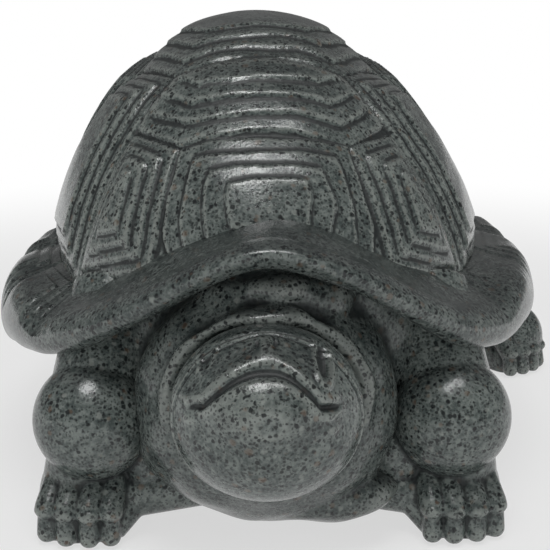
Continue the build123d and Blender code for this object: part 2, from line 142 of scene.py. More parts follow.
# Toes from the inner to the outer side: how far out, how far back from the foremost, and their turn
TOES = ((-5.9, 0.6, -14), (-2.2, 0.0, -4), (1.9, 0.7, 8), (5.5, 2.6, 26))
ANKLE_RADIUS = 7.4 * MM
KNUCKLE_RADIUS = 2.6 * MM
NAIL_RADIUS = 1.9 * MM
SOLE_Z = 0.6 * MM

# Camera: where it looks, how far off it stands, and its angles round and above the figure
CAMERA_TARGET = Vector((1.98 * MM, 0, 34.74 * MM))
CAMERA_DISTANCE = 276.1 * MM
CAMERA_AZIMUTH = math.radians(-1.529)
CAMERA_ELEVATION = math.radians(12.996)

# Lamps: place, size, watts, and whether they show in the polish instead of lighting the stone
LAMPS = {
    "ceiling_panel": ((-0.14, -0.25, 0.93), 0.30, 3.9, True),
    "ceiling_lamp": ((0.20, -0.16, 0.94), 0.20, 1.5, True),
    "top_lamp": ((0.0, -0.32, 0.92), 0.4, 2.3, False),
    "front_lamp": ((-0.1, -1.20, 0.10), 0.8, 6.4, False),
    "back_lamp": ((0.0, 1.25, 0.12), 0.7, 3.0, False),
    "left_lamp": ((1.25, -0.15, 0.35), 0.7, 2.2, False),
    "right_lamp": ((-1.25, -0.15, 0.35), 0.7, 2.2, False),
}
WORLD_STRENGTH = 0.20
FLOOR_SIZE = 12
WHITE = (1.0, 1.0, 1.0, 1.0)


class ShellSizes(PropertyGroup):
    """Sizes of the carved shell."""

    step: FloatProperty(
        name="Step", description="Height of one tier of a scute", default=0.8 * MM, unit="LENGTH"
    )
    tiers: IntProperty(name="Tiers", description="Tiers of a scute", default=4, min=1)
    groove: FloatProperty(
        name="Groove", description="Width of the groove between scutes", default=0.9 * MM, unit="LENGTH"
    )
    riser: FloatProperty(
        name="Riser", description="Width of the slope between tiers", default=0.6 * MM, unit="LENGTH"
    )
    wander: FloatProperty(
        name="Wander", description="How far a carved line strays", default=0.38 * MM, unit="LENGTH"
    )
    lip: FloatProperty(
        name="Lip", description="Radial size of the rim's rounding", default=5.4 * MM, unit="LENGTH"
    )


class StoneFinish(PropertyGroup):
    """Colours of the speckled stone."""

    ground: FloatVectorProperty(
        name="Ground", description="Main grey", subtype="COLOR", size=3, default=(0.056, 0.071, 0.068)
    )
    pale: FloatVectorProperty(
        name="Pale", description="Paler clouds", subtype="COLOR", size=3, default=(0.190, 0.216, 0.202)
    )
    # The dark colour also paints the shade in the crevices and on what faces up.
    dark: FloatVectorProperty(
        name="Dark", description="Dark specks", subtype="COLOR", size=3, default=(0.008, 0.010, 0.011)
    )
    white: FloatVectorProperty(
        name="White", description="Worn edges", subtype="COLOR", size=3, default=(0.31, 0.335, 0.31)
    )
    rust: FloatVectorProperty(
        name="Rust", description="Brown flecks", subtype="COLOR", size=3, default=(0.16, 0.105, 0.07)
    )
    speck: FloatProperty(
        name="Speck", description="Spacing of the specks", default=0.74 * MM, unit="LENGTH"
    )


class StageLook(PropertyGroup):
    """Floor, light and camera."""

    floor: FloatVectorProperty(
        name="Floor", description="Floor's colour", subtype="COLOR", size=3, default=(0.87, 0.87, 0.87)
    )
    lens: FloatProperty(name="Lens", description="Focal length", default=79.0, unit="CAMERA")


def deselect_all():
    """Leaves nothing selected."""
    bpy.ops.object.select_all(action="DESELECT")


def activate(piece):
    """Makes one piece the only selected one and the active one."""
    deselect_all()
    piece.select_set(True)
    bpy.context.view_layer.objects.active = piece


@contextmanager
def editing(piece):
    """Edit mode on one piece, with all of its mesh selected."""
    activate(piece)
    bpy.ops.object.mode_set(mode="EDIT")
    bpy.ops.mesh.select_all(action="SELECT")
    yield
    bpy.ops.object.mode_set(mode="OBJECT")


def read_points(piece):
    """Vertices of a piece, one row each."""
    flat = np.empty(3 * len(piece.data.vertices))
    piece.data.vertices.foreach_get("co", flat)
    return flat.reshape(-1, 3)


def write_points(piece, points):
    """Moves the vertices of a piece."""
    piece.data.vertices.foreach_set("co", np.ascontiguousarray(points).ravel())
    piece.data.update()


def settle(piece, name):
    """Names the piece and puts its place into its mesh."""
    activate(piece)
    bpy.ops.object.transform_apply(location=True, rotation=True, scale=True)
    piece.name = name
    piece.data.name = name
    return piece


def apply_modifier(piece, kind, **settings):
    """Adds a modifier to a piece and applies it."""
    activate(piece)
    modifier = piece.modifiers.new(kind.title(), kind)
    for setting, value in settings.items():
        setattr(modifier, setting, value)
    bpy.ops.object.modifier_apply(modifier=modifier.name)


def add_ball(centre, half_sizes, turn=(0, 0, 0), rounds=4):
    """A ball stretched to its half sizes, turned and set at its centre."""
    deselect_all()
    bpy.ops.mesh.primitive_ico_sphere_add(subdivisions=rounds, radius=1, location=centre, rotation=turn)
    ball = bpy.context.object
    ball.scale = half_sizes
    return settle(ball, "ball")


def add_limb(start, end, start_radius, end_radius):
    """A tapered round limb from one point to another."""
    start, end = Vector(start), Vector(end)
    axis = end - start
    deselect_all()
    bpy.ops.mesh.primitive_cone_add(
        vertices=48,
        radius1=start_radius,
        radius2=end_radius,
        depth=axis.length,
        location=(start + end) / 2,
        rotation=axis.to_track_quat("Z", "Y").to_euler(),
    )
    return settle(bpy.context.object, "limb")


def join(parts):
    """Makes one mesh of several parts, in the first of them."""
    activate(parts[0])
    for part in parts:
        part.select_set(True)
    bpy.ops.object.join()
    return bpy.context.object


def fuse(parts, name, voxel, smoothing):
    """Joins overlapping parts into one closed skin and softens where they meet."""
    piece = settle(join(parts), name)
    apply_modifier(piece, "REMESH", mode="VOXEL", voxel_size=voxel)
    apply_modifier(piece, "SMOOTH", factor=0.5, iterations=smoothing)
    return piece


def cut_flat(piece, height):
    """Cuts a piece off flat at a height and closes it."""
    with editing(piece):
        bpy.ops.mesh.bisect(
            plane_co=(0, 0, height),
            plane_no=(0, 0, 1),
            use_fill=True,
            clear_inner=True,
            threshold=0.001 * MM,
        )


def close_seams(piece):
    """Merges vertices that lie on each other and turns every face outwards."""
    with editing(piece):
        bpy.ops.mesh.remove_doubles(threshold=0.002 * MM)
        bpy.ops.mesh.normals_make_consistent(inside=False)


def waves(points, wavelength, seed):
    """Smooth unevenness of about -1 to 1 with a given wavelength, the same on every run."""
    count = 12
    rng = np.random.default_rng(seed)
    directions = rng.normal(size=(count, 3))
    directions /= np.linalg.norm(directions, axis=1)[:, None]
    phases = rng.uniform(0, 2 * math.pi, count)
    return np.sin(points @ directions.T * (2 * math.pi / wavelength) + phases).sum(axis=1) / 4


def ease(low, high, values):
    """0 below the low value, 1 above the high one, and a smooth rise between them."""
    share = np.clip((values - low) / (high - low), 0, 1)
    return share * share * (3 - 2 * share)


def bump(*distances):
    """Bell of height 1 over distances that are given in shares of its size."""
    return np.exp(-sum(distance * distance for distance in distances))


def vertex_normals(piece):
    """Normals at the vertices of a piece."""
    flat = np.empty(3 * len(piece.data.vertices))
    piece.data.vertex_normals.foreach_get("vector", flat)
    return flat.reshape(-1, 3)


def neighbour_mean(values, edges, degree):
    """Mean over each vertex's neighbours of a column of values."""
    total = np.bincount(edges[:, 0], values[edges[:, 1]], len(values))
    total += np.bincount(edges[:, 1], values[edges[:, 0]], len(values))
    return total / degree


def store_attribute(piece, name, values):
    """Keeps one value for each vertex of a piece under a name."""
    attribute = piece.data.attributes.new(name, "FLOAT", "POINT")
    attribute.data.foreach_set("value", values.astype(np.float32))


def store_relief(piece, reach, depth):
    """Keeps how far each vertex stands proud of its surroundings, as an attribute from 0 to 1."""
    points = read_points(piece)
    flat = np.empty(2 * len(piece.data.edges), dtype=np.int32)
    piece.data.edges.foreach_get("vertices", flat)
    edges = flat.reshape(-1, 2)
    degree = np.maximum(np.bincount(edges.ravel(), minlength=len(points)), 1)
    mean = points.copy()
    for _ in range(reach):
        for axis in range(3):
            mean[:, axis] = neighbour_mean(mean[:, axis], edges, degree)
    proud = ((points - mean) * vertex_normals(piece)).sum(axis=1) / depth
    store_attribute(piece, "relief", 0.5 + 0.5 * np.clip(proud, -1, 1))


def store_top_shade_and_darkening(piece, share):
    """Keeps how far the stone is darkened: an even share over the whole piece, and painted shade on
    what faces up.
    """
    up = vertex_normals(piece)[:, 2]
    store_attribute(piece, "top_shade_and_darkening", share + 0.46 * ease(0.58, 0.96, up))


def dress(piece, material):
    """Gives a piece one material all over."""
    piece.data.materials.clear()
    piece.data.materials.append(material)


def finish_stone(piece, nodes, reach=10, depth=0.16 * MM, top_shade_and_darkening=0.0):
    """Gives a carved piece its stone, its smooth shading and its place on the figure."""
    activate(piece)
    bpy.ops.object.shade_smooth()
    store_relief(piece, reach, depth)
    store_top_shade_and_darkening(piece, top_shade_and_darkening)
    dress(piece, speckled_stone())
    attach(piece, FIGURE)
    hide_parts(*nodes)


class Strand:
    """A shader value: an expression with it adds the Math nodes that work it out."""

    def __init__(self, finish, socket):
        self.finish = finish
        self.socket = socket

    def math(self, operation, *values):
        """A Math node on numbers and strands."""
        return self.finish.node("ShaderNodeMath", {"operation": operation}, dict(enumerate(values)))

    def __add__(self, other):
        return self.math("ADD", self, other)

    def __radd__(self, other):
        return self.math("ADD", other, self)

    def __sub__(self, other):
        return self.math("SUBTRACT", self, other)

    def __rsub__(self, other):
        return self.math("SUBTRACT", other, self)

    def __mul__(self, other):
        return self.math("MULTIPLY", self, other)

    def __rmul__(self, other):
        return self.math("MULTIPLY", other, self)

    def ease(self, low, high):
        """0 below low, 1 above high, smooth between; a low above high falls instead."""
        settings = {"interpolation_type": "SMOOTHSTEP"}
        ends = {0: self, 1: low, 2: high, 3: 0, 4: 1}
        if low > high:
            ends = {0: self, 1: high, 2: low, 3: 1, 4: 0}
        return self.finish.node("ShaderNodeMapRange", settings, ends)


class Finish:
    """Node tree of a finish or of the studio's light, built from its shader outwards."""

    def __init__(self, owner, shader="Principled BSDF", output="Material Output"):
        owner.use_nodes = True
        self.owner = owner
        self.tree = owner.node_tree
        self.shader = self.tree.nodes[shader]
        self.surface = self.tree.nodes[output].inputs["Surface"]

    @cached_property
    def place(self):
        """The shaded point, in the piece's own frame."""
        return self.node("ShaderNodeTexCoord", {}, {}, "Object")

    def feed(self, socket, value):
        """Links a strand to a socket, or sets the socket's own value."""
        if isinstance(value, Strand):
            self.tree.links.new(value.socket, socket)
        else:
            socket.default_value = value

    def node(self, kind, settings, sockets, output=0):
        """Adds a node with its settings, then its sockets' values or links."""
        made = self.tree.nodes.new(kind)
        for setting, value in settings.items():
            setattr(made, setting, value)
        for socket, value in sockets.items():
            self.feed(made.inputs[socket], value)
        return Strand(self, made.outputs[output])

    def noise(self, size, detail=2.0, roughness=0.5):
        """Cloudy noise whose clouds have about the given size."""
        sockets = {"Vector": self.place, "Scale": 1 / size, "Detail": detail, "Roughness": roughness}
        return self.node("ShaderNodeTexNoise", {}, sockets, "Fac")

    def cells(self, size, place, output):
        """Scattered cells about the given size apart."""
        sockets = {"Vector": place, "Scale": 1 / size}
        return self.node("ShaderNodeTexVoronoi", {"feature": "F1"}, sockets, output)

    def specks(self, spacing, place, least, most):
        """Round specks about a spacing apart, each of its own size; one below zero is left out."""
        tint = self.cells(spacing, place, "Color")
        lot = self.node("ShaderNodeSeparateColor", {}, {0: tint}, "Red")
        distance = self.cells(spacing, place, "Distance")
        return (least + lot * (most - least) - distance).ease(-0.10, 0.08)

    def mix(self, share, first, second):
        """Colour between two colours."""
        return self.node("ShaderNodeMix", {"data_type": "RGBA"}, {0: share, 6: first, 7: second}, 2)

    def relief_bump(self, height, distance):
        """Normal that follows a height."""
        sockets = {"Height": height, "Distance": distance, "Strength": 1.0}
        return self.node("ShaderNodeBump", {}, sockets, "Normal")

    def set(self, **values):
        """Sets or links the shader's own sockets, named with spaces as underscores."""
        for name, value in values.items():
            self.feed(self.shader.inputs[name.replace("_", " ")], value)

    def show_instead(self, share, other):
        """Shows another shader in place of the tree's own one, by a share."""
        own = Strand(self, self.shader.outputs[0])
        self.feed(self.surface, self.node("ShaderNodeMixShader", {}, {0: share, 1: own, 2: other}))


def opaque(colour):
    """A colour with full alpha."""
    return (*colour, 1.0)


def speckled_stone():
    """Polished grey stone with clouds, dark and brown specks and worn edges; its crevices are rougher
    and darkened with painted shade, and what faces up is darkened with painted shade.
    """
    known = bpy.data.materials.get("polished_stone")
    if known:
        return known
    look = bpy.context.scene.stone_finish
    colours = (look.ground, look.pale, look.dark, look.white, look.rust)
    ground, pale, dark, white, rust = (opaque(colour) for colour in colours)
    stone = Finish(bpy.data.materials.new("polished_stone"))

    # Clouds, and edges worn pale
    clouds = stone.noise(6 * MM, detail=4, roughness=0.6)
    grain = stone.noise(0.9 * MM, detail=3, roughness=0.65)
    colour = stone.mix((clouds * 0.4 + grain * 0.6).ease(0.37, 0.64), ground, pale)
    relief = stone.node("ShaderNodeAttribute", {"attribute_name": "relief"}, {}, "Fac")
    worn = relief.ease(0.68, 0.98)
    # Crevices: rougher, and darkened further down with painted shade
    crevice_shade = relief.ease(0.44, 0.12)
    colour = stone.mix(worn * 0.45, colour, white)

    # Specks of uneven outline, the fine ones first
    wobble_sockets = {"Vector": stone.place, "Scale": 1 / (0.7 * MM)}
    wobble = stone.node("ShaderNodeTexNoise", {}, wobble_sockets, "Color")
    warp = stone.node(
        "ShaderNodeVectorMath",
        {"operation": "MULTIPLY_ADD"},
        {0: wobble, 1: (0.6 * MM,) * 3, 2: stone.place},
    )
    fine = stone.specks(0.8 * look.speck, warp, 0.10, 0.52)
    middling = stone.specks(1.3 * look.speck, warp, -0.08, 0.44)
    coarse = stone.specks(2.0 * look.speck, warp, -0.24, 0.32)
    brown = stone.specks(2.9 * look.speck, warp, -0.20, 0.30)
    flake = stone.specks(2.7 * look.speck, warp, -0.26, 0.28)
    colour = stone.mix(fine * 0.66, colour, dark)
    colour = stone.mix(middling * 0.90, colour, dark)
    colour = stone.mix(coarse * 0.90, colour, dark)
    colour = stone.mix(brown * 0.45, colour, rust)
    colour = stone.mix(flake * 0.5, colour, white)

    # Painted shade on what faces up, over an even darkening per piece, and painted shade in the
    # crevices
    top_shade_and_darkening = stone.node("ShaderNodeAttribute", {"attribute_name": "top_shade_and_darkening"}, {}, "Fac")
    colour = stone.mix(top_shade_and_darkening, colour, dark)
    colour = stone.mix(crevice_shade * 0.85, colour, dark)

    pits = stone.noise(0.5 * MM, detail=2)
    stone.set(
        Base_Color=colour,
        Roughness=0.15 + grain * 0.14 + crevice_shade * 0.35,
        Normal=stone.relief_bump(pits * 0.5 + grain * 0.5 - fine * 0.12, 0.07 * MM),
        IOR=1.5,
    )
    return stone.owner


def pressed_felt():
    """Dark matt felt with a short nap."""
    felt = Finish(bpy.data.materials.new("pressed_felt"))
    nap = felt.noise(0.5 * MM, detail=5, roughness=0.7)
    deep = opaque((0.008, 0.010, 0.010))
    raised = opaque((0.035, 0.038, 0.037))
    felt.set(
        Base_Color=felt.mix(nap.ease(0.35, 0.7), deep, raised),
        Roughness=0.95,
        Normal=felt.relief_bump(nap, 0.4 * MM),
    )
    return felt.owner


def floor_paper(colour):
    """Pale paper that keeps the figure's shadow and fades to plain white further off."""
    paper = Finish(bpy.data.materials.new("floor_paper"))
    paper.set(Base_Color=opaque(colour), Roughness=0.9)
    distance = paper.node("ShaderNodeVectorMath", {"operation": "LENGTH"}, {0: paper.place}, "Value")
    rays = ("Is Camera Ray", "Is Glossy Ray", "Is Transmission Ray")
    seen = sum(paper.node("ShaderNodeLightPath", {}, {}, ray) for ray in rays)
    glow = paper.node("ShaderNodeEmission", {}, {"Color": WHITE})
    paper.show_instead(seen * (0.62 + 0.38 * distance.ease(0.14, 0.40)), glow)
    return paper.owner


def moulded_rubber():
    """Matt black rubber with a fine bloom."""
    rubber = Finish(bpy.data.materials.new("moulded_rubber"))
    bloom = rubber.noise(3 * MM, detail=4)
    black = opaque((0.010, 0.010, 0.011))
    bloomed = opaque((0.028, 0.028, 0.030))
    rubber.set(
        Base_Color=rubber.mix(bloom.ease(0.4, 0.75), black, bloomed),
        Roughness=0.55 + bloom * 0.2,
        Normal=rubber.relief_bump(rubber.noise(0.4 * MM), 0.05 * MM),
    )
    return rubber.owner


def flare(across, crown, fall, spread):
    """Height of an arch that falls from its crown and flattens out towards its sides."""
    return crown - fall * (1 - np.exp(-((np.abs(across) / spread) ** 1.8)))


def arch(across, crown, bend, slope):
    """Height of an arch, round at its crown and falling straight at a slope in degrees beside it."""
    angle = math.radians(slope)
    straight = np.maximum(np.abs(across) - bend * math.sin(angle), 0)
    rounded = np.minimum(np.abs(across), bend * math.sin(angle))
    return crown - bend + np.sqrt(bend**2 - rounded**2) - math.tan(angle) * straight


def rim_face(x, y, front, back):
    """Height of one face of the rim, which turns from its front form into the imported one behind."""
    ahead = flare(x, *front) + RIM_LOBE_LIFT * ease(*RIM_LOBE_SPAN, np.abs(x))
    level = ahead + (arch(x, *back) - ahead) * ease(*RIM_FRONT_TO_BACK, y)
    return level + RIM_LEFT_LIFT * ease(*RIM_LEFT_SPAN, x)


def rim_top(x, y):
    """Height of the rim's top."""
    return rim_face(x, y, RIM_TOP_FRONT, RIM_TOP_BACK)


def rim_under(x, y):
    """Height of the rim's underside."""
    return rim_face(x, y, RIM_UNDER_FRONT, RIM_UNDER_BACK)


def rim_middle(points):
    """Height halfway through the rim at points."""
    x, y = points[:, 0], points[:, 1]
    return (rim_top(x, y) + rim_under(x, y)) / 2


def dome_point(corner, side):
    """Point of the dome at a scute corner, on the left for side 1 and on the right for side -1."""
    along, lean = corner
    girth = math.sqrt(1 - along**2)
    angle = math.radians(lean)
    share = (side * girth * math.sin(angle), along, girth * math.cos(angle))
    return DOME_CENTRE + DOME_HALF_SIZES * share


def middle_scute(*corners):
    """Corners of a scute on the middle line, once round."""
    left = [dome_point(corner, 1) for corner in corners]
    return left + [dome_point(corner, -1) for corner in reversed(corners)]


def side_scutes(*corners):
    """Corners of a pair of side scutes."""
    return [[dome_point(corner, side) for corner in corners] for side in (1, -1)]


# Every scute's corners, the width of its bands, and how much closer they lie at its back edge
MIDDLE_SCUTES = [
    (middle_scute(FRONT_SEAM, FRONT_FOOT, FRONT_TUCK), 6.2 * MM, 1.9),
    (middle_scute(SECOND_SEAM, SECOND_ELBOW, FRONT_SEAM), 4.2 * MM, 2.6),
    (middle_scute(THIRD_SEAM, THIRD_ELBOW, SECOND_SEAM), 4.2 * MM, 1.6),
    (middle_scute(FOURTH_SEAM, FOURTH_ELBOW, THIRD_SEAM), 4.2 * MM, 1.6),
    (middle_scute(FIFTH_TUCK, FIFTH_ELBOW, FOURTH_SEAM), 3.5 * MM, 1.0),
]
SIDE_SCUTES = [
    (FRONT_SEAM, SECOND_ELBOW, SECOND_HEM, FIRST_HEM),
    (SECOND_ELBOW, SECOND_SEAM, THIRD_ELBOW, THIRD_HEM, SECOND_HEM),
    (THIRD_ELBOW, THIRD_SEAM, FOURTH_ELBOW, FOURTH_HEM, THIRD_HEM),
    (FOURTH_ELBOW, FOURTH_SEAM, FIFTH_ELBOW, FIFTH_HEM, FOURTH_HEM),
]
SIDE_BAND = 2.7 * MM
SCUTES = MIDDLE_SCUTES + [
    (corners, SIDE_BAND, 1.0) for pair in SIDE_SCUTES for corners in side_scutes(*pair)
]


def outward(points):
    """Unit normals of the dome at its points."""
    normals = (points - DOME_CENTRE) / DOME_HALF_SIZES**2
    return normals / np.linalg.norm(normals, axis=-1, keepdims=True)


def bands_inside(points, corners, band, crowding):
    """How many bands each point lies inside a scute's edge; below zero where it lies outside."""
    corners = np.array(corners)
    middle = corners.mean(axis=0)
    reach = np.full(len(points), np.inf)
    for first, second in zip(corners, np.roll(corners, -1, axis=0)):
        inward = np.cross(outward((first + second) / 2), second - first)
        inward /= np.linalg.norm(inward)
        if inward @ (middle - first) < 0:
            inward = -inward
        width = band / (1 + (crowding - 1) * max(-inward[1], 0))
        reach = np.minimum(reach, (points - first) @ inward / width)
    same_side = outward(points) @ outward(middle) > 0.3
    return np.where(same_side, reach, -np.inf)


def scute_height(points, sizes):
    """Height of the carving at points of the dome, zero on the scutes' top tiers."""
    reach = np.max([bands_inside(points, *scute) for scute in SCUTES], axis=0)
    stray = waves(points, 17 * MM, 3) + 0.5 * waves(points, 6 * MM, 4)
    reach = reach + sizes.wander / MEAN_BAND * stray - sizes.groove / (2 * MEAN_BAND)
    ramp = sizes.riser / MEAN_BAND
    tiers = sum(ease(level - ramp / 2, level + ramp / 2, reach) for level in range(sizes.tiers))
    tread = 0.22 * np.clip(reach % 1.0, 0, 1) * ((reach > 0) & (reach < sizes.tiers - 1))
    return (tiers - sizes.tiers + tread) * sizes.step


def disc_from_square(square):
    """Even spread of a square's points over the unit disc, as share of the radius and angle."""
    a, b = square[:, 0], square[:, 1]
    wide = np.abs(a) > np.abs(b)
    safe_a = np.where(a == 0, 1, a)
    safe_b = np.where(b == 0, 1, b)
    radius = np.where(wide, a, b)
    angle = np.where(wide, math.pi / 4 * b / safe_a, math.pi / 2 - math.pi / 4 * a / safe_b)
    return np.abs(radius), np.where(radius < 0, angle + math.pi, angle)


def dome_directions(tilt, angle):
    """Unit directions at a tilt from the vertical and an angle round it."""
    girth = np.sin(tilt)
    return np.column_stack([girth * np.cos(angle), girth * np.sin(angle), np.cos(tilt)])


def dome_tilt_at_rim(angle, half_sizes):
    """Tilt from the vertical at which the dome runs into the middle of the rim's thickness."""
    low = np.full(len(angle), 0.3)
    high = np.full(len(angle), 1.9)
    for _ in range(40):
        tilt = (low + high) / 2
        points = DOME_CENTRE + half_sizes * dome_directions(tilt, angle)
        above = points[:, 2] > rim_middle(points)
        low = np.where(above, tilt, low)
        high = np.where(above, high, tilt)
    return low


def add_dome_sheet(divisions, depth, name):
    """A grid laid over the dome, a depth under its surface, down into the rim."""
    deselect_all()
    bpy.ops.mesh.primitive_grid_add(x_subdivisions=divisions, y_subdivisions=divisions, size=2)
    sheet = bpy.context.object
    sheet.name = name
    radius, angle = disc_from_square(read_points(sheet)[:, :2])
    half_sizes = DOME_HALF_SIZES - depth
    full = dome_tilt_at_rim(angle, half_sizes)
    tilt = 2 * np.arcsin(radius * np.sin(full / 2))
    write_points(sheet, DOME_CENTRE + half_sizes * dome_directions(tilt, angle))
    return sheet


class TURTLE_OT_dome(Operator):
    """Carve the shell's dome with its tiered scutes"""

    bl_idname = "turtle.dome"
    bl_label = "Dome"

    def execute(self, context):
        sizes = context.scene.shell_sizes
        outside = add_dome_sheet(DOME_GRID, 0, "shell_dome")
        points = read_points(outside)
        height = scute_height(points, sizes) + 0.10 * MM * waves(points, 11 * MM, 5)
        points = points + outward(points) * np.minimum(height, 0)[:, None]
        rise = ease(*DOME_LEAN_SPAN, points[:, 2])
        points[:, 0] = points[:, 0] * (1 + DOME_FOOT_FLARE * (1 - rise)) - DOME_LEAN * rise
        write_points(outside, points)
        inside = add_dome_sheet(DOME_INSIDE_GRID, SHELL_WALL, "dome_inside")
        dome = join([outside, inside])
        with editing(dome):
            bpy.ops.mesh.select_all(action="DESELECT")
            bpy.ops.mesh.select_mode(type="EDGE")
            bpy.ops.mesh.select_non_manifold(
                extend=False,
                use_wire=False,
                use_boundary=True,
                use_multi_face=False,
                use_non_contiguous=False,
            )
            bpy.ops.mesh.bridge_edge_loops()
            bpy.ops.mesh.select_all(action="SELECT")
            bpy.ops.mesh.normals_make_consistent(inside=False)
        dome.data.name = dome.name
        finish_stone(dome, ["carapace"])
        return {"FINISHED"}


def rim_section(share):
    """Shares round the rim's section: of its width, its lip's bulge and its height, -1 to 1."""
    lip_start, lip_end, top_end = 0.34, 0.58, 0.94
    outwards = share / lip_start
    lip_angle = (share - lip_start) / (lip_end - lip_start) * math.pi - math.pi / 2
    inwards = 1 - (share - lip_end) / (top_end - lip_end)
    fall = 1 - 2 * (share - top_end) / (1 - top_end)
    under, lip, top = share < lip_start, share < lip_end, share < top_end
    full = np.ones_like(share)
    radial = np.select([under, lip, top], [outwards, full, inwards], 0.0)
    bulge = np.select([under, lip], [0 * full, np.cos(lip_angle)], 0.0)
    height = np.select([under, lip, top], [-full, np.sin(lip_angle), full], fall)
    return radial, bulge, height


def marginal_height(angle, share, height):
    """Depth of the tiers carved into the rim's top, fainter on the left and none over the neck."""
    inner, outer = 0.77, 0.96
    across = (angle / (2 * math.pi) * MARGINALS) % 1.0
    along = np.clip((share - inner) / (outer - inner), 0, 1)
    reach = np.minimum(np.minimum(across, 1 - across) * 2.6, along * 1.35 + 0.05)
    level = ease(0.06, 0.16, reach) + ease(0.36, 0.46, reach) + ease(0.66, 0.76, reach)
    leftward, backward = np.cos(angle), np.sin(angle)
    off_neck = ease(0.50, 0.80, np.abs(leftward) + np.maximum(backward, 0))
    worn = np.where(leftward > 0, 0.35 + 0.65 * ease(-0.2, 0.4, backward), 1.0)
    return (level - 3) * MARGINAL_STEP * off_neck * worn * ease(-0.1, 0.6, height)


class TURTLE_OT_rim(Operator):
    """Shape the shell's flared rim with its rounded lip and carved margin"""

    bl_idname = "turtle.rim"
    bl_label = "Rim"

    def execute(self, context):
        sizes = context.scene.shell_sizes
        deselect_all()
        columns, rows = RIM_GRID
        bpy.ops.mesh.primitive_grid_add(x_subdivisions=columns, y_subdivisions=rows, size=2)
        rim = settle(context.object, "shell_rim")
        around, section = (read_points(rim)[:, :2].T + 1) / 2
        angle = 2 * math.pi * around
        radial, bulge, height = rim_section(section)
        outline = np.column_stack(
            [RIM_TUCK * RIM_HALF_WIDTH * np.cos(angle), RIM_HALF_LENGTH * np.sin(angle)]
        )
        length = np.linalg.norm(outline, axis=1)
        lip = sizes.lip / length
        share = RIM_INNER_SHARE + (1 - lip - RIM_INNER_SHARE) * radial + lip * bulge
        place = outline * share[:, None]
        top, under = rim_top(*place.T), rim_under(*place.T)
        z = (top + under) / 2 + height * (top - under) / 2
        z -= RIM_FRONT_DROOP * radial**2 * np.maximum(height, 0) * ease(0.3, 0.9, -np.sin(angle))
        unevenness = 0.25 * MM * waves(np.column_stack([place, z]), 16 * MM, 7)
        z += marginal_height(angle, share, height) + unevenness
        write_points(rim, np.column_stack([place, z]))
        close_seams(rim)
        finish_stone(rim, ["carapace"], reach=8, depth=0.5 * MM, top_shade_and_darkening=0.1)
        return {"FINISHED"}


def cad_copy(node, name):
    """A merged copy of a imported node's mesh."""
    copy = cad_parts[node].copy()
    copy.data = copy.data.copy()
    copy.parent = None
    for key in list(copy.keys()):
        del copy[key]
    bpy.context.scene.collection.objects.link(copy)
    close_seams(copy)
    return settle(copy, name)


def add_neck_roll(centre, half_width, half_height, thickness):
    """A roll of neck skin: a ring that stands upright round the head."""
    deselect_all()
    bpy.ops.mesh.primitive_torus_add(
        major_segments=96,
        minor_segments=24,
        major_radius=half_width,
        minor_radius=thickness,
        location=centre,
        rotation=(math.pi / 2, 0, 0),
    )
    roll = bpy.context.object
    roll.scale = (1, half_height / half_width, 1)
    return settle(roll, "roll")


class TURTLE_OT_body(Operator):
    """Make the body with its belly, its port and the rolls of the neck"""

    bl_idname = "turtle.body"
    bl_label = "Body"

    def execute(self, context):
        x, y, z = HEAD_CENTRE
        parts = [
            cad_copy("body", "body_casting"),
            add_neck_roll((x, y + 6 * MM, z), 17.0 * MM, 14.6 * MM, 1.5 * MM),
        ]
        for middle, half_sizes in BODY_ROLLS:
            parts.append(add_ball(np.array(middle) * MM, np.array(half_sizes) * MM))
        body = fuse(parts, "body_casting", 0.8 * MM, 6)
        points = read_points(body)
        chest = ease(-50 * MM, -62 * MM, points[:, 1]) * ease(20 * MM, 2 * MM, points[:, 2])
        points[:, 2] += CHEST_RISE * chest
        points[:, 2] = np.minimum(points[:, 2], rim_middle(points) - RIM_CLEARANCE)
        folds = 0.35 * MM * waves(points, 9 * MM, 8) * ease(-55 * MM, -66 * MM, points[:, 1])
        write_points(body, points + vertex_normals(body) * folds[:, None])
        finish_stone(body, ["body"], reach=22, depth=0.9 * MM, top_shade_and_darkening=0.2)
        return {"FINISHED"}


def ray_reach(directions, offset, half_sizes):
    """Distance along each direction to an ellipsoid round the start, its middle at an offset."""
    a = ((directions / half_sizes) ** 2).sum(axis=1)
    b = (directions * offset / half_sizes**2).sum(axis=1)
    c = ((offset / half_sizes) ** 2).sum() - 1
    return (b + np.sqrt(np.maximum(b * b - a * c, 0))) / a


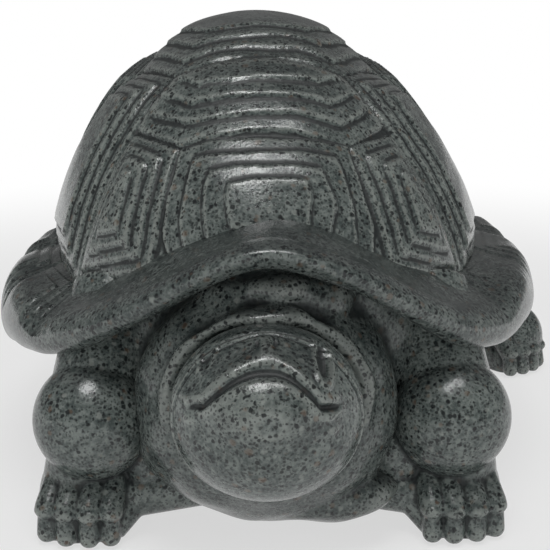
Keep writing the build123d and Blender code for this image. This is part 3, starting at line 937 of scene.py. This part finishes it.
def carve_face(points, directions):
    """Depth of the face's carving: positive stands out, negative is cut in."""
    u = (points[:, 0] - HEAD_CENTRE[0]) / MM
    w = (points[:, 2] - HEAD_CENTRE[2]) / MM
    front = ease(0.0, 0.35, -directions[:, 1])

    # Mouth: a groove that arches over the chin, with a lip above it
    corner = np.where(u < -0.1, 10.2, 8.2)
    drop = np.where(u < -0.1, 5.8, 5.3)
    aside = np.abs(u + 0.1)
    over = w - 10.5 + drop * np.minimum(aside / corner, 1) ** 2.2
    over += 0.35 * np.maximum(aside - corner, 0)
    width = ease(12.2, 10.6, np.abs(u + 0.6))
    depth = -0.9 * bump(over / 0.6) * width
    depth += 0.4 * bump((over - 1.1) / 0.75) * width

    # Chin, folds at the corners of the mouth, eyes, snout and nostrils
    depth += 0.5 * bump(u / 9.0, (w + 1.0) / 7.0)
    for fold_u, fold_w in ((9.8, 2.6), (-12.2, 3.6)):
        depth += 0.7 * bump((u - fold_u) / 1.3, (w - fold_w - 0.9) / 0.9)
        depth += 0.5 * bump((u - fold_u) / 1.2, (w - fold_w + 1.6) / 1.0)
    for eye_u, eye_w, tilt, opening in ((8.7, 10.5, -0.15, 1.0), (-9.6, 11.4, 0.2, 0.35)):
        eye = np.hypot((u - eye_u - tilt * (w - eye_w)) / 1.05, (w - eye_w) / 2.1)
        depth += opening * (-0.85 * ease(1.0, 0.5, eye) + 0.45 * bump((eye - 1.35) / 0.32))
    depth += 1.0 * bump((u + 0.2) / 3.0, (w - 12.9) / 1.3)
    for nostril in (-1.5, 1.1):
        depth -= 0.5 * bump((u - nostril) / 0.5, (w - 12.9) / 0.45)

    # Bead round the face, between two grooves
    edge = np.degrees(np.arccos(np.clip(-directions[:, 1], -1, 1)))
    bead = -0.22 * bump((edge - 73) / 1.0) - 0.3 * bump((edge - 79) / 1.2)
    bead += 0.15 * bump((edge - 76) / 1.4)
    return (depth * front + bead) * MM


class TURTLE_OT_head(Operator):
    """Carve the head with its beak, mouth, eyes and the bead round its edge"""

    bl_idname = "turtle.head"
    bl_label = "Head"

    def execute(self, context):
        head = add_ball((0, 0, 0), (1, 1, 1), rounds=7)
        head.name = "head_casting"
        head.data.name = head.name
        directions = read_points(head)
        directions /= np.linalg.norm(directions, axis=1)[:, None]
        skull = ray_reach(directions, np.zeros(3), HEAD_HALF_SIZES)
        beak = ray_reach(directions, BEAK_OFFSET, BEAK_HALF_SIZES)
        reach = BEAK_BLEND * np.logaddexp(skull / BEAK_BLEND, beak / BEAK_BLEND)
        reach -= BEAK_BLEND * math.log(2) * bump((skull - beak) / (2 * BEAK_BLEND))
        points = HEAD_CENTRE + directions * reach[:, None]
        depth = carve_face(points, directions)
        points = HEAD_CENTRE + directions * (reach + depth)[:, None]
        points[:, 1] = np.maximum(points[:, 1], HEAD_LOW.y)
        write_points(head, points)
        finish_stone(head, ["head"], reach=16, depth=0.14 * MM)
        return {"FINISHED"}


def add_foot(middle, turn, side):
    """Parts of a foot: its pad, its toes and their nails, toes along -Y before the turn."""
    spin = math.radians(turn)

    def at(x, y, z):
        x, y, z = side * x * MM, y * MM, z * MM
        return (
            middle[0] + x * math.cos(spin) - y * math.sin(spin),
            middle[1] + x * math.sin(spin) + y * math.cos(spin),
            z,
        )

    parts = [
        add_ball(at(0, 1, 5.6), (8.3 * MM, 10.4 * MM, 10.4 * MM), (0, 0, spin)),
        add_ball(at(0, -4.2, 4.5), (7.8 * MM, 6.4 * MM, 7.2 * MM), (0, 0, spin)),
    ]
    for out, back, splay in TOES:
        aim = math.radians(splay)
        reach_x, reach_y = math.sin(aim), -math.cos(aim)
        knuckle = at(0.86 * out - 1.2, -4.4 + back, 11.8)
        tip_y = -9.9 + back
        tip = at(out, tip_y, 6.4)
        parts.append(add_limb(knuckle, tip, KNUCKLE_RADIUS, 2.5 * MM))
        parts.append(add_ball(knuckle, (KNUCKLE_RADIUS,) * 3))
        parts.append(add_ball(tip, (2.45 * MM, 2.6 * MM, 1.7 * MM), (0, 0, spin + side * aim)))
        root = at(out, tip_y + 0.2, 5.6)
        end = at(out + 0.4 * reach_x, tip_y + 0.6 * reach_y, 2.1)
        parts.append(add_limb(root, end, NAIL_RADIUS, NAIL_RADIUS))
        parts.append(add_ball(end, (NAIL_RADIUS,) * 3))
        pad = at(0.9 * out, -5 + back, 2.4)
        parts.append(add_ball(pad, (2.1 * MM, 5 * MM, 2.8 * MM), (0, 0, spin)))
    return parts


def add_web(side):
    """Parts of the skin between a front foot and the chest."""
    outer = (side * 26 * MM, -60 * MM, 7.4 * MM)
    inner = (side * 10 * MM, -59 * MM, 11 * MM)
    inner_nail = (side * 29 * MM, -65.4 * MM, 2 * MM)
    armpit = (side * 22.5 * MM, -56 * MM, 14 * MM)
    return [
        add_limb(outer, inner, 4.4 * MM, 5.6 * MM),
        add_ball(outer, (4.4 * MM,) * 3),
        add_limb(outer, inner_nail, 4.2 * MM, NAIL_RADIUS),
        add_ball(armpit, (7.5 * MM, 8 * MM, 9 * MM)),
    ]


class TURTLE_OT_legs(Operator):
    """Make the four legs with their arms, balls, feet, toes and nails"""

    bl_idname = "turtle.legs"
    bl_label = "Legs"

    def execute(self, context):
        for name, (ball, radius, arm, middle, turn) in LEGS.items():
            side = 1 if ball[0] > 0 else -1
            ball, arm, middle = (np.array(place) * MM for place in (ball, arm, middle))
            radius *= MM
            ankle = (middle[0], middle[1], 9 * MM)
            parts = [
                add_ball(ball, (radius,) * 3, rounds=5),
                add_limb(ball, arm, 0.82 * radius, 0.8 * radius),
                add_limb(ball, ankle, ANKLE_RADIUS, ANKLE_RADIUS),
                *add_foot(middle, turn, side),
            ]
            if name.startswith("front"):
                parts += add_web(side)
            if name == "rear_left":
                instep = (66 * MM, 41 * MM, 8.5 * MM)
                parts.append(add_ball(instep, (8.6 * MM, 9 * MM, 8.8 * MM)))
            leg = fuse(parts, f"{name}_casting", 0.34 * MM, 2)
            cut_flat(leg, SOLE_Z)
            finish_stone(leg, [f"{name}_leg"], reach=32, depth=0.5 * MM)
        return {"FINISHED"}


class TURTLE_OT_tail(Operator):
    """Make the short drooping tail"""

    bl_idname = "turtle.tail"
    bl_label = "Tail"

    def execute(self, context):
        low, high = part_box("tail")
        root = (0, high.y - 20 * MM, 22.5 * MM)
        bend = (0, high.y - 10 * MM, low.z + 7 * MM)
        tip = (0, high.y - 3.2 * MM, low.z + 2.6 * MM)
        parts = [
            add_ball(root, (7.6 * MM,) * 3),
            add_limb(root, bend, 7.4 * MM, 4.8 * MM),
            add_ball(bend, (4.8 * MM,) * 3),
            add_limb(bend, tip, 4.6 * MM, 2.5 * MM),
            add_ball(tip, (2.5 * MM,) * 3),
        ]
        tail = fuse(parts, "tail_casting", 0.5 * MM, 6)
        finish_stone(tail, ["tail"])
        return {"FINISHED"}


class TURTLE_OT_underside(Operator):
    """Finish the felts and the stopper under the belly"""

    bl_idname = "turtle.underside"
    bl_label = "Felts and stopper"

    def execute(self, context):
        felt = pressed_felt()
        rubber = moulded_rubber()
        for name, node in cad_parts.items():
            if name.endswith("_felt"):
                dress(node, felt)
            elif name == "belly_stopper":
                dress(node, rubber)
        return {"FINISHED"}


def studio_world(strength):
    """Even light of a given strength that looks white behind the floor."""
    studio = Finish(bpy.data.worlds.new("studio"), "Background", "World Output")
    studio.set(Color=WHITE, Strength=strength)
    white = studio.node("ShaderNodeBackground", {}, {"Color": WHITE})
    studio.show_instead(studio.node("ShaderNodeLightPath", {}, {}, "Is Camera Ray"), white)
    return studio.owner


def add_lamp(name, place, size, power, mirrored):
    """A square light that faces the figure, and lights the stone unless it shows in its polish."""
    light = bpy.data.lights.new(name, "AREA")
    light.size = size
    light.energy = power
    lamp = bpy.data.objects.new(name, light)
    lamp.location = place
    lamp.rotation_euler = (CAMERA_TARGET - Vector(place)).to_track_quat("-Z", "Y").to_euler()
    lamp.visible_glossy = mirrored
    lamp.visible_diffuse = not mirrored
    bpy.context.scene.collection.objects.link(lamp)


class TURTLE_OT_stage(Operator):
    """Set up the floor, the light and the camera"""

    bl_idname = "turtle.stage"
    bl_label = "Stage"

    def execute(self, context):
        look = context.scene.stage_look
        deselect_all()
        bpy.ops.mesh.primitive_plane_add(size=FLOOR_SIZE)
        floor = context.object
        floor.name = "floor"
        floor.data.materials.append(floor_paper(look.floor))

        for name, lamp in LAMPS.items():
            add_lamp(name, *lamp)
        context.scene.world = studio_world(WORLD_STRENGTH)
        context.scene.view_settings.view_transform = "Standard"

        camera = bpy.data.objects.new("camera", bpy.data.cameras.new("camera"))
        camera.data.lens = look.lens
        back = Vector((
            math.sin(CAMERA_AZIMUTH) * math.cos(CAMERA_ELEVATION),
            -math.cos(CAMERA_AZIMUTH) * math.cos(CAMERA_ELEVATION),
            math.sin(CAMERA_ELEVATION),
        ))
        camera.location = CAMERA_TARGET + CAMERA_DISTANCE * back
        camera.rotation_euler = (-back).to_track_quat("-Z", "Y").to_euler()
        camera.data.clip_start = 0.01
        context.scene.collection.objects.link(camera)
        context.scene.camera = camera
        return {"FINISHED"}


class TURTLE_PT_panel(Panel):
    """Sizes, colours and steps of the turtle figurine"""

    bl_idname = "TURTLE_PT_panel"
    bl_label = "Turtle Figurine"
    bl_space_type = "VIEW_3D"
    bl_region_type = "UI"
    bl_category = "Turtle"

    def draw(self, context):
        scene = context.scene
        for group in (scene.shell_sizes, scene.stone_finish, scene.stage_look):
            box = self.layout.box()
            for name in group.__annotations__:
                box.prop(group, name)
        for operator in OPERATORS:
            self.layout.operator(operator.bl_idname)


OPERATORS = (
    TURTLE_OT_dome,
    TURTLE_OT_rim,
    TURTLE_OT_body,
    TURTLE_OT_head,
    TURTLE_OT_legs,
    TURTLE_OT_tail,
    TURTLE_OT_underside,
    TURTLE_OT_stage,
)
CLASSES = (ShellSizes, StoneFinish, StageLook, *OPERATORS, TURTLE_PT_panel)


def register():
    """Registers the classes and hangs their properties on the scene."""
    for cls in CLASSES:
        bpy.utils.register_class(cls)
    bpy.types.Scene.shell_sizes = PointerProperty(type=ShellSizes)
    bpy.types.Scene.stone_finish = PointerProperty(type=StoneFinish)
    bpy.types.Scene.stage_look = PointerProperty(type=StageLook)


def unregister():
    """Takes the properties and the classes away again."""
    del bpy.types.Scene.stage_look
    del bpy.types.Scene.stone_finish
    del bpy.types.Scene.shell_sizes
    for cls in reversed(CLASSES):
        bpy.utils.unregister_class(cls)


def main():
    """Makes every piece and the stage."""
    register()
    bpy.ops.turtle.dome()
    bpy.ops.turtle.rim()
    bpy.ops.turtle.body()
    bpy.ops.turtle.head()
    bpy.ops.turtle.legs()
    bpy.ops.turtle.tail()
    bpy.ops.turtle.underside()
    bpy.ops.turtle.stage()


if __name__ == "__main__":
    main()
